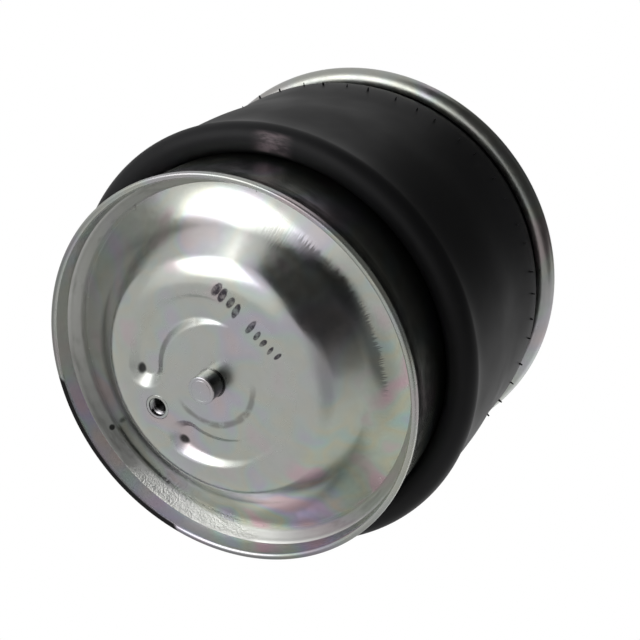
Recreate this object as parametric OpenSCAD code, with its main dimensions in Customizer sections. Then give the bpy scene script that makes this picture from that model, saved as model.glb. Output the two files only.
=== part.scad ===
// Rolling-lobe air suspension spring, millimetres.
// The origin is the centre of the piston's seating face, +Z runs along the axis to the top plate,
// and +X points from the locating pin to the tapped bush.

/* [Piston] */
// Outer diameter of the piston wall that the sleeve rolls on
piston_d = 242; // [236:1:246]
// Outer diameter of the thickened rim at the open end of the piston
rim_d = 245; // [243:1:249]
// How far the seating face stands proud of the piston rim
seat_proud = 10; // [8:1:12]
// Height of the piston head above the seating face
piston_h = 124; // [120:1:128]
// Thickness of the piston shell
shell_t = 3; // [2.5:0.1:3.2]
// Height above the seating face at which the base plate's edge meets the piston wall
ring_h = 31.5; // [30.5:0.5:32.5]

/* [Seat details] */
// Diameter of the locating pin
pin_d = 17; // [15:0.5:19]
// Length of the locating pin below the seating face
pin_len = 12; // [10:0.5:14]
// Distance from the locating pin to the tapped bush
bush_offset = 45.5; // [44.5:0.5:46]
// Wall diameter of the tapped bush, the core size of an M12 thread
bush_bore = 10.2; // [10:0.1:10.8]
// Depth of the pressed grooves beside the tapped bush
groove_depth = 5; // [3:0.5:6]

/* [Sleeve] */
// Outer diameter of the rubber sleeve at the rolling lobe
lobe_d = 280.4; // [278:0.2:282]
// Height of the lobe's centre above the seating face
lobe_z = 65; // [60:1:75]
// Wall thickness of the rubber sleeve
sleeve_t = 5.5; // [5:0.1:6]
// Diameter of the steel bead wires
wire_d = 4.8; // [4:0.1:5]

/* [Top plate] */
// Height of the top plate's outer face above the seating face
top_h = 229.5; // [226:0.5:233]
// Outer diameter over the crimped curl
top_d = 291.2; // [289:0.2:293]
// Thickness of the top plate
plate_t = 3; // [2.8:0.1:3.2]
// Distance between the two mounting studs
stud_spacing = 157.5; // [140:0.5:180]
// Diameter of the mounting studs
stud_d = 12; // [10:1:14]
// Length of the mounting studs above the top plate
stud_len = 36; // [25:1:45]
// Distance from the axis to the air inlet
inlet_offset = 70; // [66:1:74]
// Wall diameter of the air inlet, the core size of an M22 x 1.5 thread
inlet_bore = 20.4; // [20:0.1:21]

/* [Hidden] */
$fn = 96;
zinc = "#b9bcb8";
weld_grey = "#8f8f8a";
rubber_black = "#232326";

// Clearance between pieces that move against each other
gap = 0.3;
// Angle step of the arcs in a profile
arc_step = 7.5;

// Piston wall, rim and head
wall_r = piston_d / 2;
wall_in = wall_r - shell_t;
rim_r = rim_d / 2;
rim_z = seat_proud;
rim_edge = 1.2;
rim_in = wall_in + 0.5;
flare_z = rim_z + 4;
flare_end = rim_z + 15;
shoulder_r = 12;
head_z = piston_h - 8;
bead_seat_z = piston_h - 14;
neck_r = 74;
step_r = 5;
corner_r = 4;
step_x = 94;
seat_x = step_x - 2 * step_r * sin(45) - (head_z - bead_seat_z - 2 * step_r * (1 - cos(45)));

// Base plate, seen from the seating face: a broad bend, a sloping wall and a wide cove up to the edge
base_t = 4;
bend_r = 27;
cove_r = 42;
wall_slope = 44;
flat_r = wall_in - (bend_r + cove_r) * sin(wall_slope)
         - (ring_h - (bend_r + cove_r) * (1 - cos(wall_slope))) / tan(wall_slope);
// Weld at the edge: its legs along the plate and along the wall, and the angle where it starts on the cove
base_leg_r = 6.3;
base_leg_z = 10;
toe_angle = asin(base_leg_r / cove_r);
toe_z = ring_h - cove_r * (1 - cos(toe_angle));
// Pin and bush: shank in the plate, collar or head on the inside
pin_shank_r = pin_d / 2 + 1;
pin_head = 4;
bush_r = bush_bore / 2;
bush_shank_r = bush_r + 2.8;
bush_collar_r = bush_r + 4.9;
bush_h = 16;
bush_weld = 1.8;
weld_leg = 3;
through = 1;
// Grooves: centre line, half width of the floor, run of the walls per unit of depth, and both ends
groove_r = 45;
groove_floor = 6;
groove_run = 1.4;
groove_start = 34.6;
groove_end = 122;
groove_reach = 8;
groove_margin = 1.3;

// Stack on the piston head
clamp_r = 90;
clamp_t = 4;
disc_z = piston_h + clamp_t;
disc_t = 3;
disc_r = 34;
washer_t = 3;
washer_r = 15;
nut_h = 13;
nut_af = 24;
head_stud_r = 8;
head_stud_flange = head_stud_r + 6;
flange_t = 5;
stud_over_nut = 3;
clearance_r = 8.5;
// Buffer: foot, waist, bulge and top, then the well for the nut
stop_top = 156;
stop_foot_r = disc_r + 4;
stop_waist_r = 33;
stop_waist_z = disc_z + 14;
stop_bulge_r = 34.5;
stop_bulge_z = stop_top - 7;
stop_top_r = 30;
well_r = 16.5;
well_lead = 4;

// Rolling lobe of the sleeve
leg_in = wall_r + gap;
lobe_r = (lobe_d / 2 - leg_in) / 2;
lobe_x = leg_in + lobe_r;
wire_r = wire_d / 2;
bead_in = neck_r + gap;
bead_bevel = 3;
bead_x = 81;
bead_z = bead_seat_z + 6.5;

// Crimped curl of the top plate
curl_r = 8;
curl_x = top_d / 2 - curl_r;
curl_z = top_h - curl_r;
curl_end = -110;
bead_r = curl_r - plate_t - gap;
plate_in = top_h - plate_t;
// The sleeve leaves the curl this far inside the curl's centre line
neck_x = curl_x - 4;
neck_z = curl_z - curl_r + 0.5;
// Outer leg above the lobe: a soft waist, a bulge and the neck, as offsets from the lobe's widest point
leg_shape = [[0, 0], [-1.3, 15], [-0.2, 53], [-1, 85], [0.3, 120], [-1.8, 135],
             [neck_x - lobe_d / 2, neck_z - lobe_z]];

// Studs and air inlet: shank in the plate, flat head or collar under it
stud_r = stud_d / 2;
stud_shank_r = stud_r + 0.5;
stud_head_r = stud_r + 5;
stud_head_t = 4;
lead = 1;
inlet_r = inlet_bore / 2;
inlet_shank_r = inlet_r + 4;
inlet_collar_r = inlet_r + 6;
inlet_depth = 16;

// Points of an arc round a centre, from one angle to another
function arc(x, z, r, from, to) =
    let (n = max(2, ceil(abs(to - from) / arc_step)))
    [for (i = [0:n]) let (a = from + (to - from) * i / n) [x + r * cos(a), z + r * sin(a)]];

// Points of a smooth curve that runs through a list of points
function smooth(p, steps = 4) =
    [for (i = [0:len(p) - 2], k = [0:steps - 1])
        let (a = p[max(i - 1, 0)], b = p[i], c = p[i + 1], d = p[min(i + 2, len(p) - 1)], t = k / steps)
        b + (c - a) / 2 * t + (a - 2.5 * b + 2 * c - d / 2) * t * t
          + (1.5 * (b - c) + (d - a) / 2) * t * t * t];

function reversed(p) = [for (i = [len(p) - 1:-1:0]) p[i]];

// One face of a pressed sheet. Each bend is [x, z, radius, from, to, side], and the face lies
// the distance t from it, to the given side of its radius.
function face(bends, t) = [for (b = bends, p = arc(b[0], b[1], b[2] + b[5] * t, b[3], b[4])) p];

module ring(r_in, r_out, z0, z1) {
    rotate_extrude() translate([r_in, z0]) square([r_out - r_in, z1 - z0]);
}

// Fillet weld round a post: two legs meeting on the plate that carries it
module fillet_ring(r, z, leg, side) {
    rotate_extrude() polygon([[r, z], [r + leg, z], [r, z + side * leg]]);
}

// The shell is one deep-drawn cup: rim, wall, shoulder, bead seat, neck and closed head
module piston_shell() {
    head = [[wall_r - shoulder_r, head_z - shoulder_r, shoulder_r, 0, 90, -1],
            [step_x, head_z - step_r, step_r, 90, 135, -1],
            [seat_x, bead_seat_z + step_r, step_r, 315, 270, 1],
            [neck_r + corner_r, bead_seat_z + corner_r, corner_r, 270, 180, 1],
            [neck_r - corner_r, piston_h - corner_r, corner_r, 0, 90, -1]];
    rim_out = concat(arc(rim_r - rim_edge, rim_z + rim_edge, rim_edge, -90, 0),
                     [[rim_r, flare_z], [wall_r, flare_end]]);
    rim_back = concat([[wall_in, flare_end], [rim_in, flare_z]],
                      arc(rim_in + rim_edge, rim_z + rim_edge, rim_edge, 180, 270));
    color(zinc) difference() {
        rotate_extrude()
            polygon(concat(rim_out, face(head, 0), [[0, piston_h], [0, piston_h - shell_t]],
                           reversed(face(head, shell_t)), rim_back));
        translate([0, 0, head_z]) cylinder(r = head_stud_r, h = 2 * shoulder_r);
    }
}

// One curved groove with a flat floor that ramps from its deep end out to the seating face.
// A wall of its own on the inside keeps the sheet's thickness, as a press leaves it.
module groove(skin) {
    half = groove_floor + skin * tan(atan(1 / groove_run) / 2);
    low = half + groove_run * (groove_reach + skin);
    dir = (groove_start + groove_end) / 2 - 90;
    span = groove_r * 2 * sin((groove_end - groove_start) / 2);
    translate([0, 0, groove_depth / 2])
        rotate([0, 0, dir]) rotate([0, -atan(groove_depth / span), 0]) rotate([0, 0, -dir])
            union() {
                rotate([0, 0, groove_start]) rotate_extrude(angle = groove_end - groove_start)
                    translate([groove_r, skin])
                        polygon([[-half, 0], [half, 0],
                                 [low, -groove_reach - skin], [-low, -groove_reach - skin]]);
                for (a = [groove_start, groove_end])
                    rotate([0, 0, a]) translate([groove_r, 0, -groove_reach])
                        cylinder(r1 = low, r2 = half, h = groove_reach + skin);
            }
}

module groove_pair(skin = 0) {
    groove(skin);
    mirror([0, 1, 0]) groove(skin);
}

// The base plate is a pressed disc: flat seat, broad bend, sloping wall and a cove out to the edge
module base_plate() {
    bends = [[flat_r, bend_r, bend_r, -90, wall_slope - 90, -1],
             [wall_in, ring_h - cove_r, cove_r, 90 + wall_slope, 90 + toe_angle, 1]];
    color(zinc) difference() {
        union() {
            rotate_extrude()
                polygon(concat([[0, 0]], face(bends, 0), [[wall_in, ring_h], [wall_in, ring_h + base_t]],
                               reversed(face(bends, base_t)), [[0, base_t]]));
            intersection() {
                groove_pair(base_t);
                translate([0, 0, base_t / 2])
                    cylinder(r = flat_r + groove_margin, h = base_t + groove_depth);
            }
        }
        groove_pair();
        translate([0, 0, -through]) cylinder(r = pin_shank_r, h = base_t + 2 * through);
        translate([bush_offset, 0, -through]) cylinder(r = bush_shank_r, h = base_t + 2 * through);
    }
}

// Fillet weld between the wall and the plate's edge, with a slightly crowned face
module base_weld_bead() {
    crown = 0.7;
    middle = [wall_in - base_leg_r / 2 - crown, (toe_z + ring_h - base_leg_z) / 2 - crown];
    color(weld_grey) rotate_extrude()
        polygon([[wall_in, ring_h], [wall_in - base_leg_r, toe_z], middle, [wall_in, ring_h - base_leg_z]]);
}

// Pin with a chamfered end and a thicker shank that passes through the base plate
module locating_pin() {
    chamfer = 1;
    r = pin_d / 2;
    color(zinc) rotate_extrude()
        polygon([[0, -pin_len], [r - chamfer, -pin_len], [r, chamfer - pin_len], [r, 0],
                 [pin_shank_r, 0], [pin_shank_r, base_t + pin_head], [0, base_t + pin_head]]);
}

module pin_weld_ring() {
    color(weld_grey) fillet_ring(pin_shank_r, base_t, weld_leg, 1);
}

// Bush with its face flush in the seat, a collar on the inside and a countersunk mouth
module tapped_bush() {
    sink = 0.8;
    color(zinc) translate([bush_offset, 0, 0]) rotate_extrude()
        polygon([[bush_r + sink, 0], [bush_shank_r, 0], [bush_shank_r, base_t], [bush_collar_r, base_t],
                 [bush_collar_r, bush_h], [bush_r, bush_h], [bush_r, sink]]);
}

module bush_weld_ring() {
    color(weld_grey) translate([bush_offset, 0, 0]) fillet_ring(bush_collar_r, base_t, bush_weld, 1);
}

// Stud welded through the piston head, with a flat head on the inside
module head_stud() {
    r = head_stud_r;
    under = piston_h - shell_t;
    tip = disc_z + disc_t + washer_t + nut_h + stud_over_nut;
    color(zinc) rotate_extrude()
        polygon([[0, under - flange_t], [head_stud_flange, under - flange_t], [head_stud_flange, under],
                 [r, under], [r, tip - lead], [r - lead, tip], [0, tip]]);
}

module head_stud_weld() {
    color(weld_grey) fillet_ring(head_stud_flange, piston_h - shell_t, weld_leg, -1);
}

// Disc that holds the sleeve's lower bead down on the piston head
module clamp_plate() {
    bevel_in = 1;
    bevel_out = 2;
    color(zinc) rotate_extrude()
        polygon([[clearance_r, piston_h], [clamp_r - bevel_in, piston_h], [clamp_r, piston_h + bevel_in],
                 [clamp_r, disc_z - bevel_out], [clamp_r - bevel_out, disc_z], [clearance_r, disc_z]]);
}

module bump_stop_disc() {
    color(zinc) ring(clearance_r, disc_r, disc_z, disc_z + disc_t);
}

// Moulded buffer: it wraps the edge of its disc and has a well for the nut
module bump_stop() {
    outer = smooth([[stop_foot_r, disc_z + 2 * disc_t], [stop_waist_r, stop_waist_z],
                    [stop_bulge_r, stop_bulge_z], [stop_top_r, stop_top]]);
    color(rubber_black) rotate_extrude()
        polygon(concat([[disc_r, disc_z], [stop_foot_r, disc_z]], outer,
                       [[stop_top_r, stop_top], [well_r + well_lead, stop_top],
                        [well_r, stop_top - well_lead], [well_r, disc_z + disc_t],
                        [disc_r, disc_z + disc_t]]));
}

module lock_washer() {
    color(zinc) ring(clearance_r, washer_r, disc_z + disc_t, disc_z + disc_t + washer_t);
}

module lock_nut() {
    z = disc_z + disc_t + washer_t;
    color(zinc) difference() {
        translate([0, 0, z]) cylinder(d = nut_af / cos(30), h = nut_h, $fn = 6);
        translate([0, 0, z - through]) cylinder(r = head_stud_r, h = nut_h + 2 * through);
    }
}

module lower_bead_wire() {
    color(zinc) rotate_extrude() translate([bead_x, bead_z]) circle(r = wire_r);
}

// One moulded sleeve: lower bead, cover over the piston's shoulder, inner leg, rolling lobe,
// outer leg with its soft waist and bulge, neck and upper bead
module rubber_sleeve() {
    out = lobe_d / 2;
    over = [[wall_r - shoulder_r, head_z - shoulder_r, shoulder_r + gap, 90, 0, 1],
            [lobe_x, lobe_z, lobe_r, 180, 360, -1]];
    leg = smooth([for (p = leg_shape) [out + p[0], lobe_z + p[1]]]);
    leg_in_face = [for (p = leg) p - [sleeve_t, 0]];
    neck = [neck_x - sleeve_t, neck_z];
    step_top = head_z + gap;
    bead_floor = bead_seat_z + gap;
    bead_top = piston_h - gap;
    cover = concat([[bead_in + bead_bevel, bead_floor], [seat_x, bead_floor], [step_x - 2, step_top]],
                   face(over, 0), leg, arc(curl_x, curl_z, bead_r, -130, 90));
    air_side = concat([[neck_x, plate_in - gap], [neck[0] + bead_bevel / 2, curl_z], neck],
                      reversed(leg_in_face), reversed(face(over, sleeve_t)),
                      [[step_x, step_top + sleeve_t], [step_x - 2 * bead_bevel, bead_top],
                       [bead_in, bead_top], [bead_in, bead_floor + bead_bevel]]);
    color(rubber_black) rotate_extrude() difference() {
        polygon(concat(cover, air_side));
        translate([bead_x, bead_z]) circle(r = wire_r + gap);
        translate([curl_x, curl_z]) circle(r = wire_r + gap);
    }
}

// Flat plate whose edge is rolled round the sleeve's upper bead
module top_plate() {
    curl = [[curl_x, curl_z, curl_r, 90, curl_end, -1]];
    color(zinc) difference() {
        rotate_extrude()
            polygon(concat([[0, top_h]], face(curl, 0), reversed(face(curl, plate_t)), [[0, plate_in]]));
        for (s = [-1, 1])
            translate([0, s * stud_spacing / 2, plate_in - through])
                cylinder(r = stud_shank_r, h = plate_t + 2 * through);
        translate([inlet_offset, 0, plate_in - through])
            cylinder(r = inlet_shank_r, h = plate_t + 2 * through);
    }
}

module upper_bead_wire() {
    color(zinc) rotate_extrude() translate([curl_x, curl_z]) circle(r = wire_r);
}

// Two studs, each with a flat head under the plate and a thicker shank in it
module mounting_studs() {
    under = plate_in - stud_head_t;
    tip = top_h + stud_len;
    color(zinc) for (s = [-1, 1]) translate([0, s * stud_spacing / 2, 0]) rotate_extrude()
        polygon([[0, under], [stud_head_r, under], [stud_head_r, plate_in], [stud_shank_r, plate_in],
                 [stud_shank_r, top_h], [stud_r, top_h], [stud_r, tip - lead],
                 [stud_r - lead, tip], [0, tip]]);
}

module stud_weld_rings() {
    color(weld_grey) for (s = [-1, 1])
        translate([0, s * stud_spacing / 2, 0]) fillet_ring(stud_head_r, plate_in, weld_leg, -1);
}

// Bush flush with the plate's outer face, open to the inside of the sleeve
module air_inlet_bush() {
    foot = plate_in - inlet_depth;
    color(zinc) translate([inlet_offset, 0, 0]) rotate_extrude()
        polygon([[inlet_r, foot], [inlet_collar_r, foot], [inlet_collar_r, plate_in],
                 [inlet_shank_r, plate_in], [inlet_shank_r, top_h],
                 [inlet_r + lead, top_h], [inlet_r, top_h - lead]]);
}

module inlet_weld_ring() {
    color(weld_grey) translate([inlet_offset, 0, 0]) fillet_ring(inlet_collar_r, plate_in, weld_leg, -1);
}

piston_shell();
base_plate();
base_weld_bead();
locating_pin();
pin_weld_ring();
tapped_bush();
bush_weld_ring();
head_stud();
head_stud_weld();
clamp_plate();
bump_stop_disc();
bump_stop();
lock_washer();
lock_nut();
lower_bead_wire();
rubber_sleeve();
top_plate();
upper_bead_wire();
mounting_studs();
stud_weld_rings();
air_inlet_bush();
inlet_weld_ring();
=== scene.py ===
"""Looks of a rolling-lobe air suspension spring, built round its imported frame.

Lengths in the sub-assemblies are millimetres in the row frame: the origin is the centre of the piston's
seating face, +Z runs to the top plate and +X to the tapped bush. They become metres when a mesh is made.
Lengths in the finishes are metres, as a shader reads them.
"""

import logging
import math
import random
from dataclasses import dataclass, field
from enum import Enum
from typing import Callable, Optional, Sequence

import bmesh
import bpy
from mathutils import Matrix, Vector


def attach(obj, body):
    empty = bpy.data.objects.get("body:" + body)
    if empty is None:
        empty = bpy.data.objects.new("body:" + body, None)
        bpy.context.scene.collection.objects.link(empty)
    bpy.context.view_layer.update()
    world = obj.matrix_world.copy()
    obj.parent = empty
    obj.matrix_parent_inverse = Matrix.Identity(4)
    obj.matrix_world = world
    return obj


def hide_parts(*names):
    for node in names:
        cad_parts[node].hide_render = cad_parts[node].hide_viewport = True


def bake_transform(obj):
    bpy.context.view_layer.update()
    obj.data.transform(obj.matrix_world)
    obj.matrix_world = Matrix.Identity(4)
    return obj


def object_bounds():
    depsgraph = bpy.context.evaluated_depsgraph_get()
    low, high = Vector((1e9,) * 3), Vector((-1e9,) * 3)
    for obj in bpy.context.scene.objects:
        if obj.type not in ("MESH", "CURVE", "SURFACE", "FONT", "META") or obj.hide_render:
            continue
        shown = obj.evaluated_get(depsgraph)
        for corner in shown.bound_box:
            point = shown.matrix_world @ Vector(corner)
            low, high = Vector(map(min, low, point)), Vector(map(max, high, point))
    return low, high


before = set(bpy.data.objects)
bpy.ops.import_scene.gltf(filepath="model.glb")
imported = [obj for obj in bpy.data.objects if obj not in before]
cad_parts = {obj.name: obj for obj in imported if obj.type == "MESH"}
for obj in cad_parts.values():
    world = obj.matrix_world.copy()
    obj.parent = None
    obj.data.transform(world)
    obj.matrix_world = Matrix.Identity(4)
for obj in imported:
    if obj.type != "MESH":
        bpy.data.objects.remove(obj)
CAD_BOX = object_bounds()

MM = 0.001
# Points of an outline that lie closer than this are one, in millimetres
SAME_POINT = 1e-4
# A thread's ridge, as shares of the pitch: width of its foot and height of its crest, and faces per turn
RIDGE_FOOT, RIDGE_CREST, RIDGE_STEPS = 0.86, 0.43, 40

Point = tuple[float, float]
Colour = tuple[float, float, float]
Socket = bpy.types.NodeSocket
Piece = bpy.types.Object
Finish = bpy.types.Material
# An elliptic mark: centre in millimetres, direction of its long side in degrees, and both half sizes
Mark = tuple[float, float, float, float, float]

log = logging.getLogger("air_spring")


class Body(Enum):
    """The three bodies of the frame."""

    PISTON = "piston"
    SLEEVE = "sleeve"
    TOP = "top"


class Slot(Enum):
    """Names of material slots for the new pieces; the script does not assign them."""

    ZINC = "zinc_steel"
    WELD = "weld_steel"
    SLEEVE = "sleeve_rubber"
    BUFFER = "buffer_rubber"


# Outlines


def arc(x: float, z: float, r: float, start: float, end: float, step: float = 3.0) -> list[Point]:
    """Points of an arc in an outline.

    Args:
        x: Radius of the arc's centre, from the axis.
        z: Height of the arc's centre.
        r: Radius of the arc.
        start: First angle in degrees, from the outward direction.
        end: Last angle in degrees.
        step: Largest angle between two points.

    Returns:
        The points from the first angle to the last.
    """
    n = max(2, math.ceil(abs(end - start) / step))
    angles = [math.radians(start + (end - start) * i / n) for i in range(n + 1)]
    return [(x + r * math.cos(a), z + r * math.sin(a)) for a in angles]


def smooth(points: Sequence[Point], steps: int) -> list[Point]:
    """A smooth curve through some points.

    Args:
        points: The points to run through.
        steps: Points per span.

    Returns:
        The points of the curve, the last one included.
    """
    made: list[Point] = []
    last = len(points) - 1
    for i in range(last):
        a, b = Vector(points[max(i - 1, 0)]), Vector(points[i])
        c, d = Vector(points[i + 1]), Vector(points[min(i + 2, last)])
        for k in range(steps):
            t = k / steps
            p = (b + (c - a) / 2 * t + (a - 2.5 * b + 2 * c - d / 2) * t * t
                 + (1.5 * (b - c) + (d - a) / 2) * t ** 3)
            made.append((p.x, p.y))
    return made + [tuple(points[-1])]


def line(start: Point, end: Point, step: float) -> list[Point]:
    """Evenly spaced points of a straight line, both ends included."""
    n = max(1, round(math.dist(start, end) / step))
    return [(start[0] + (end[0] - start[0]) * i / n, start[1] + (end[1] - start[1]) * i / n)
            for i in range(n + 1)]


def joined(*runs: Sequence[Point]) -> list[Point]:
    """One outline from several runs of points, without the points that repeat."""
    made: list[Point] = []
    for run in runs:
        for p in run:
            if not made or math.dist(made[-1], p) > SAME_POINT:
                made.append((p[0], p[1]))
    if math.dist(made[0], made[-1]) < SAME_POINT:
        made.pop()
    return made


# Modelling tools


class Workshop:
    """Modelling operators that the sub-assemblies share."""

    def __init__(self) -> None:
        """Starts with nothing selected, because the loaded nodes are."""
        bpy.ops.object.select_all(action="DESELECT")

    def pick(self, piece: Piece) -> None:
        """Makes one piece the only selected and the active one."""
        bpy.ops.object.select_all(action="DESELECT")
        piece.select_set(True)
        bpy.context.view_layer.objects.active = piece

    def seat(self, piece: Piece, name: str, angle: float = 35.0) -> Piece:
        """Finishes a mesh: place applied, faces smooth up to an angle.

        Args:
            piece: The object to finish.
            name: Its name as a piece.
            angle: Edges sharper than this many degrees stay sharp.

        Returns:
            The same object.
        """
        self.pick(piece)
        piece.name = name
        bpy.ops.object.transform_apply(location=True, rotation=True, scale=True)
        bpy.ops.object.shade_smooth_by_angle(angle=math.radians(angle))
        return piece

    def turn(self, name: str, outline: Sequence[Point], steps: int,
             centre: Point = (0.0, 0.0), angle: float = 35.0) -> Piece:
        """Turns an outline round an upright axis, as on a lathe.

        Args:
            name: The piece's name.
            outline: Points as radius and height. It is closed unless it starts and ends on the axis.
            steps: Faces round the axis.
            centre: Place of the axis.
            angle: Edges sharper than this many degrees stay sharp.

        Returns:
            The turned solid.
        """
        place = [Vector((centre[0] + r, centre[1], z)) * MM for r, z in outline]
        bpy.ops.object.select_all(action="DESELECT")
        bpy.ops.mesh.primitive_plane_add(size=MM, location=place[0])
        piece = bpy.context.object
        bpy.ops.object.mode_set(mode="EDIT")
        bpy.ops.mesh.merge(type="CENTER")
        for here, there in zip(place, place[1:]):
            bpy.ops.mesh.extrude_region_move(TRANSFORM_OT_translate={"value": there - here})
        if outline[0][0] > 0 or outline[-1][0] > 0:
            bpy.ops.mesh.select_all(action="DESELECT")
            shape = bmesh.from_edit_mesh(piece.data)
            shape.verts.ensure_lookup_table()
            shape.verts[0].select = shape.verts[len(place) - 1].select = True
            bmesh.update_edit_mesh(piece.data)
            bpy.ops.mesh.edge_face_add()
        bpy.ops.mesh.select_all(action="SELECT")
        bpy.ops.mesh.spin(steps=steps, angle=math.tau, axis=(0, 0, 1),
                          center=(centre[0] * MM, centre[1] * MM, 0))
        self.mend()
        bpy.ops.object.mode_set(mode="OBJECT")
        return self.seat(piece, name, angle)

    def mend(self) -> None:
        """Merges doubled points and turns the faces outwards, in edit mode."""
        bpy.ops.mesh.select_all(action="SELECT")
        bpy.ops.mesh.remove_doubles(threshold=1e-6)
        bpy.ops.mesh.normals_make_consistent(inside=False)

    def coil(self, name: str, root: float, tip: float, pitch: float, low: float, high: float,
             centre: Point) -> Piece:
        """A thread's ridge, swept round its axis.

        Args:
            name: The piece's name.
            root: Radius that the ridge stands on.
            tip: Radius of its crest, smaller than the root for an inner thread.
            pitch: Rise per turn.
            low: Height where it starts.
            high: Height that it stays under.
            centre: Place of the axis.

        Returns:
            The ridge as a closed solid.
        """
        bpy.ops.object.select_all(action="DESELECT")
        bpy.ops.mesh.primitive_circle_add(vertices=3, radius=pitch * 0.45 * MM, rotation=(math.pi / 2, 0, 0))
        piece = bpy.context.object
        bpy.ops.object.transform_apply(rotation=True)
        corners = [(root, low), (root, low + pitch * RIDGE_FOOT), (tip, low + pitch * RIDGE_CREST)]
        for v, (r, z) in zip(piece.data.vertices, corners):
            v.co = Vector((r, 0, z)) * MM
        turns = int((high - low) / pitch - 1)
        screw = piece.modifiers.new("Ridge", "SCREW")
        screw.axis, screw.angle, screw.screw_offset = "Z", math.tau, pitch * MM
        screw.iterations, screw.steps, screw.render_steps = turns, RIDGE_STEPS, RIDGE_STEPS
        bpy.ops.object.modifier_apply(modifier=screw.name)
        bpy.ops.object.mode_set(mode="EDIT")
        bpy.ops.mesh.select_all(action="SELECT")
        bpy.ops.mesh.fill_holes(sides=3)
        self.mend()
        bpy.ops.transform.translate(value=(centre[0] * MM, centre[1] * MM, 0))
        bpy.ops.object.mode_set(mode="OBJECT")
        return self.seat(piece, name, 25)

    def drill(self, piece: Piece, centre: Point, radius: float, low: float, high: float) -> None:
        """Cuts a round hole upright through a piece.

        Args:
            piece: The piece to cut.
            centre: Place of the hole.
            radius: Radius of the hole.
            low: Lowest height that the cutter reaches.
            high: Highest height that it reaches.
        """
        bpy.ops.object.select_all(action="DESELECT")
        bpy.ops.mesh.primitive_cylinder_add(
            vertices=96, radius=radius * MM, depth=(high - low) * MM,
            location=(centre[0] * MM, centre[1] * MM, (low + high) / 2 * MM))
        cutter = bpy.context.object
        self.pick(piece)
        cut = piece.modifiers.new("Hole", "BOOLEAN")
        cut.object, cut.operation, cut.solver = cutter, "DIFFERENCE", "EXACT"
        bpy.ops.object.modifier_apply(modifier=cut.name)
        bpy.data.objects.remove(cutter)

    def weigh(self, piece: Piece, share: Callable[[Vector], float]) -> str:
        """Gives a piece's points weights.

        Args:
            piece: The piece.
            share: Weight at a place in millimetres. Points at 0 or below get none.

        Returns:
            The name of the vertex group.
        """
        group = piece.vertex_groups.new(name="Share")
        for v in piece.data.vertices:
            part = share(v.co / MM)
            if part > 0:
                group.add([v.index], min(part, 1.0), "REPLACE")
        return group.name

    def press(self, piece: Piece, depth: Callable[[Vector], float], most: float) -> None:
        """Pushes a sheet upwards by a depth that varies over it.

        Args:
            piece: The sheet.
            depth: Depth in millimetres at a place in millimetres.
            most: Largest depth, in millimetres.
        """
        group = self.weigh(piece, lambda p: depth(p) / most)
        self.pick(piece)
        push = piece.modifiers.new("Press", "DISPLACE")
        push.vertex_group, push.direction, push.mid_level, push.strength = group, "Z", 0.0, most * MM
        bpy.ops.object.modifier_apply(modifier=push.name)
        piece.vertex_groups.clear()

    def roughen(self, piece: Piece, share: Callable[[Vector], float], size: float, height: float) -> None:
        """Moves a surface in and out by a cloud pattern.

        Args:
            piece: The piece.
            share: How much of the height applies at a place in millimetres.
            size: Size of the lumps in millimetres.
            height: Their height in millimetres.
        """
        group = self.weigh(piece, share)
        lumps = bpy.data.textures.new("Lumps", "CLOUDS")
        lumps.noise_scale, lumps.noise_depth = size * MM, 2
        self.pick(piece)
        move = piece.modifiers.new("Lumps", "DISPLACE")
        move.texture, move.texture_coords, move.vertex_group = lumps, "LOCAL", group
        move.direction, move.mid_level, move.strength = "NORMAL", 0.5, height * MM
        bpy.ops.object.modifier_apply(modifier=move.name)
        piece.vertex_groups.clear()

    def merge(self, name: str, pieces: Sequence[Piece]) -> Piece:
        """Joins several meshes into one piece."""
        self.pick(pieces[0])
        for p in pieces:
            p.select_set(True)
        bpy.ops.object.join()
        pieces[0].name = name
        return pieces[0]


# Finishes


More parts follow.
